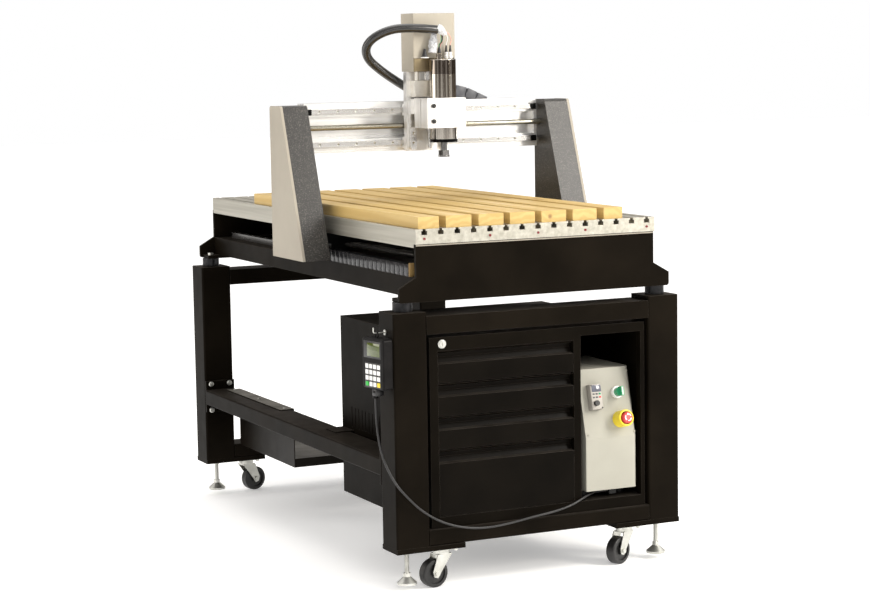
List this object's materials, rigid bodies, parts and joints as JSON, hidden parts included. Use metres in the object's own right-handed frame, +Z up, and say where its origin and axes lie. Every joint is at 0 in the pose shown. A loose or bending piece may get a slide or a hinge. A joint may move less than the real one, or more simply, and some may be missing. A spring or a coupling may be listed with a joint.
{
  "type": "cnc router",
  "caption": "Moving-gantry milling router: slotted aluminium bed on a wheeled steel stand, beam and spindle carriage above, tool drawers and a control box below.",
  "frame": {"origin": "on the floor at the centre of the stand's footprint", "axes": "+X across the machine to the right as seen from the drawers, +Y back along the bed, +Z up"},
  "size_m": [0.9855, 1.6789, 1.597],
  "materials": {
    "black_enamel": "semi-gloss black enamel, faintly textured",
    "hammertone_grey": "dark grey hammertone paint",
    "light_grey_paint": "light grey paint",
    "cream_paint": "cream powder coat",
    "aluminium": "bright extruded aluminium",
    "steel": "ground steel",
    "zinc": "zinc-plated steel",
    "dark_motor": "satin black motor casing",
    "black_rubber": "matt black rubber",
    "black_plastic": "matt black nylon",
    "grey_plastic": "dark grey moulded plastic",
    "pine": "planed pine",
    "polished_steel": "polished stainless sleeve",
    "white_plastic": "white moulded plastic",
    "green_plastic": "green moulded plastic",
    "yellow_plastic": "yellow moulded plastic",
    "red_plastic": "red moulded plastic",
    "olive_screen": "olive liquid-crystal window"
  },
  "bodies": {
    "root": {"stand_legs": "black_enamel", "stand_rails": "black_enamel", "fasteners": "zinc", "isolators": "zinc", "caster_plates": "zinc", "base_end_plates": "black_enamel", "base_rails": "black_enamel", "y_rails": "steel", "y_screw_drive": "dark_motor", "y_chain": "black_plastic", "bed_plate": "aluminium", "spoilboard_slats": "pine", "cabinet_shell": "black_enamel", "rear_tray": "black_enamel", "control_box": "cream_paint", "inverter": "grey_plastic", "switch_bezel": "white_plastic", "estop_collar": "yellow_plastic", "pendant_body": "grey_plastic", "pendant_keys": "white_plastic", "pendant_screen": "olive_screen", "pendant_cord": "black_rubber"},
    "gantry": {"gantry_uprights": "hammertone_grey", "upright_side_panels": "light_grey_paint", "gantry_crossmember": "dark_motor", "gantry_beam": "aluminium", "x_rails": "steel", "x_motor": "dark_motor"},
    "x_carriage": {"x_carriage": "aluminium", "x_chain": "grey_plastic", "z_motor_cover": "cream_paint", "z_drive": "aluminium", "z_rails": "steel", "cable_conduit": "black_rubber"},
    "z_carriage": {"spindle_clamp": "aluminium", "spindle_body": "polished_steel"},
    "spindle_rotor": {"spindle_nose": "steel"},
    "y_screw": {"y_screw": "steel"},
    "x_screw": {"x_screw": "steel"},
    "z_screw": {"z_screw": "steel"},
    "drawer_lock": {"drawer_lock": "zinc"},
    "inverter_knob": {"inverter_knob": "black_plastic"},
    "rotary_switch": {"rotary_switch": "green_plastic"},
    "estop_button": {"estop_button": "red_plastic"},
    "drawer_4": {"drawer_4": "black_enamel"},
    "drawer_3": {"drawer_3": "black_enamel"},
    "drawer_2": {"drawer_2": "black_enamel"},
    "drawer_1": {"drawer_1": "black_enamel"},
    "caster_fork_front_left": {"caster_fork_front_left": "zinc"},
    "caster_wheel_front_left": {"caster_wheel_front_left": "black_rubber"},
    "levelling_foot_front_left": {"levelling_foot_front_left": "zinc"},
    "caster_fork_front_right": {"caster_fork_front_right": "zinc"},
    "caster_wheel_front_right": {"caster_wheel_front_right": "black_rubber"},
    "levelling_foot_front_right": {"levelling_foot_front_right": "zinc"},
    "caster_fork_rear_left": {"caster_fork_rear_left": "zinc"},
    "caster_wheel_rear_left": {"caster_wheel_rear_left": "black_rubber"},
    "levelling_foot_rear_left": {"levelling_foot_rear_left": "zinc"},
    "caster_fork_rear_right": {"caster_fork_rear_right": "zinc"},
    "caster_wheel_rear_right": {"caster_wheel_rear_right": "black_rubber"},
    "levelling_foot_rear_right": {"levelling_foot_rear_right": "zinc"}
  },
  "joints": [
    {"name": "gantry_travel", "type": "slide", "parent": "root", "child": "gantry", "axis": [0, 1, 0], "range_m": [-0.6, 0.6]},
    {"name": "carriage_travel", "type": "slide", "parent": "gantry", "child": "x_carriage", "axis": [1, 0, 0], "range_m": [-0.3, 0.27]},
    {"name": "spindle_lift", "type": "slide", "parent": "x_carriage", "child": "z_carriage", "axis": [0, 0, 1], "range_m": [-0.11, 0]},
    {"name": "spindle_spin", "type": "hinge", "parent": "z_carriage", "child": "spindle_rotor", "pos_m": [0.017, -0.183, 1.18], "axis": [0, 0, -1], "continuous": true},
    {"name": "y_screw_turn", "type": "hinge", "parent": "root", "child": "y_screw", "pos_m": [0, 0, 0.85], "axis": [0, 1, 0], "continuous": true},
    {"name": "x_screw_turn", "type": "hinge", "parent": "gantry", "child": "x_screw", "pos_m": [0, -0.079, 1.258], "axis": [1, 0, 0], "continuous": true},
    {"name": "z_screw_turn", "type": "hinge", "parent": "x_carriage", "child": "z_screw", "pos_m": [-0.004, -0.127, 1.3], "axis": [0, 0, 1], "continuous": true},
    {"name": "drawer_1_pull", "type": "slide", "parent": "root", "child": "drawer_1", "axis": [0, -1, 0], "range_m": [0, 0.4]},
    {"name": "drawer_2_pull", "type": "slide", "parent": "root", "child": "drawer_2", "axis": [0, -1, 0], "range_m": [0, 0.4]},
    {"name": "drawer_3_pull", "type": "slide", "parent": "root", "child": "drawer_3", "axis": [0, -1, 0], "range_m": [0, 0.4]},
    {"name": "drawer_4_pull", "type": "slide", "parent": "root", "child": "drawer_4", "axis": [0, -1, 0], "range_m": [0, 0.4]},
    {"name": "lock_turn", "type": "hinge", "parent": "root", "child": "drawer_lock", "pos_m": [-0.302, -0.81, 0.6855], "axis": [0, -1, 0], "range_deg": [0, 90]},
    {"name": "swivel_front_left", "type": "hinge", "parent": "root", "child": "caster_fork_front_left", "pos_m": [-0.293, -0.775, 0.098], "axis": [0, 0, 1], "continuous": true},
    {"name": "roll_front_left", "type": "hinge", "parent": "caster_fork_front_left", "child": "caster_wheel_front_left", "pos_m": [-0.32073, -0.7789, 0.04], "axis": [0.1392, -0.9903, 0], "continuous": true},
    {"name": "level_front_left", "type": "slide", "parent": "root", "child": "levelling_foot_front_left", "axis": [0, 0, 1], "range_m": [-0.016, 0.04]},
    {"name": "swivel_front_right", "type": "hinge", "parent": "root", "child": "caster_fork_front_right", "pos_m": [0.293, -0.775, 0.098], "axis": [0, 0, 1], "continuous": true},
    {"name": "roll_front_right", "type": "hinge", "parent": "caster_fork_front_right", "child": "caster_wheel_front_right", "pos_m": [0.26717, -0.7858, 0.04], "axis": [0.3859, -0.9225, 0], "continuous": true},
    {"name": "level_front_right", "type": "slide", "parent": "root", "child": "levelling_foot_front_right", "axis": [0, 0, 1], "range_m": [-0.016, 0.04]},
    {"name": "swivel_rear_left", "type": "hinge", "parent": "root", "child": "caster_fork_rear_left", "pos_m": [-0.293, 0.775, 0.098], "axis": [0, 0, 1], "continuous": true},
    {"name": "roll_rear_left", "type": "hinge", "parent": "caster_fork_rear_left", "child": "caster_wheel_rear_left", "pos_m": [-0.26569, 0.78116, 0.04], "axis": [-0.2198, 0.9755, 0], "continuous": true},
    {"name": "level_rear_left", "type": "slide", "parent": "root", "child": "levelling_foot_rear_left", "axis": [0, 0, 1], "range_m": [-0.016, 0.04]},
    {"name": "swivel_rear_right", "type": "hinge", "parent": "root", "child": "caster_fork_rear_right", "pos_m": [0.293, 0.775, 0.098], "axis": [0, 0, 1], "continuous": true},
    {"name": "roll_rear_right", "type": "hinge", "parent": "caster_fork_rear_right", "child": "caster_wheel_rear_right", "pos_m": [0.26669, 0.76542, 0.04], "axis": [0.342, -0.9397, 0], "continuous": true},
    {"name": "level_rear_right", "type": "slide", "parent": "root", "child": "levelling_foot_rear_right", "axis": [0, 0, 1], "range_m": [-0.016, 0.04]},
    {"name": "speed_knob_turn", "type": "hinge", "parent": "root", "child": "inverter_knob", "pos_m": [0.184, -0.81451, 0.48008], "axis": [0, -0.969, 0.2472], "range_deg": [-135, 135]},
    {"name": "power_switch_turn", "type": "hinge", "parent": "root", "child": "rotary_switch", "pos_m": [0.266, -0.80274, 0.50597], "axis": [0, -0.969, 0.2472], "range_deg": [0, 90]},
    {"name": "stop_press", "type": "slide", "parent": "root", "child": "estop_button", "axis": [0, 0.969, -0.2472], "range_m": [0, 0.006]}
  ],
  "couplings": [
    {"joint": "y_screw_turn", "follows": "gantry_travel", "rad_per_m": 628.32},
    {"joint": "x_screw_turn", "follows": "carriage_travel", "rad_per_m": 628.32},
    {"joint": "z_screw_turn", "follows": "spindle_lift", "rad_per_m": 1256.6}
  ]
}
